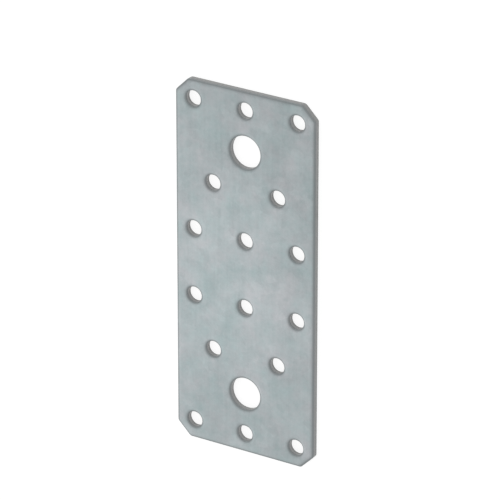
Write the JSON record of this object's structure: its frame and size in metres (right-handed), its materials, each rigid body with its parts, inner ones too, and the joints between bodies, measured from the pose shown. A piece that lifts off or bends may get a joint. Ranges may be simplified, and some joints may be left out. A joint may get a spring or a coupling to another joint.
{
  "type": "mounting plate",
  "caption": "Flat galvanised steel mounting plate with clipped corners, rows of small nail or screw holes and two larger bolt holes on its middle line.",
  "frame": {"origin": "middle of the plate's back face, which lies on Z = 0", "axes": "+X across the plate, +Y along its length, +Z out of the front face, from which the holes are punched"},
  "size_m": [0.055, 0.135, 0.0025],
  "materials": {
    "plate": "hot-dip galvanised, matt to satin blue-grey zinc, not brushed"
  },
  "bodies": {
    "root": {"plate": "plate"}
  },
  "joints": []
}
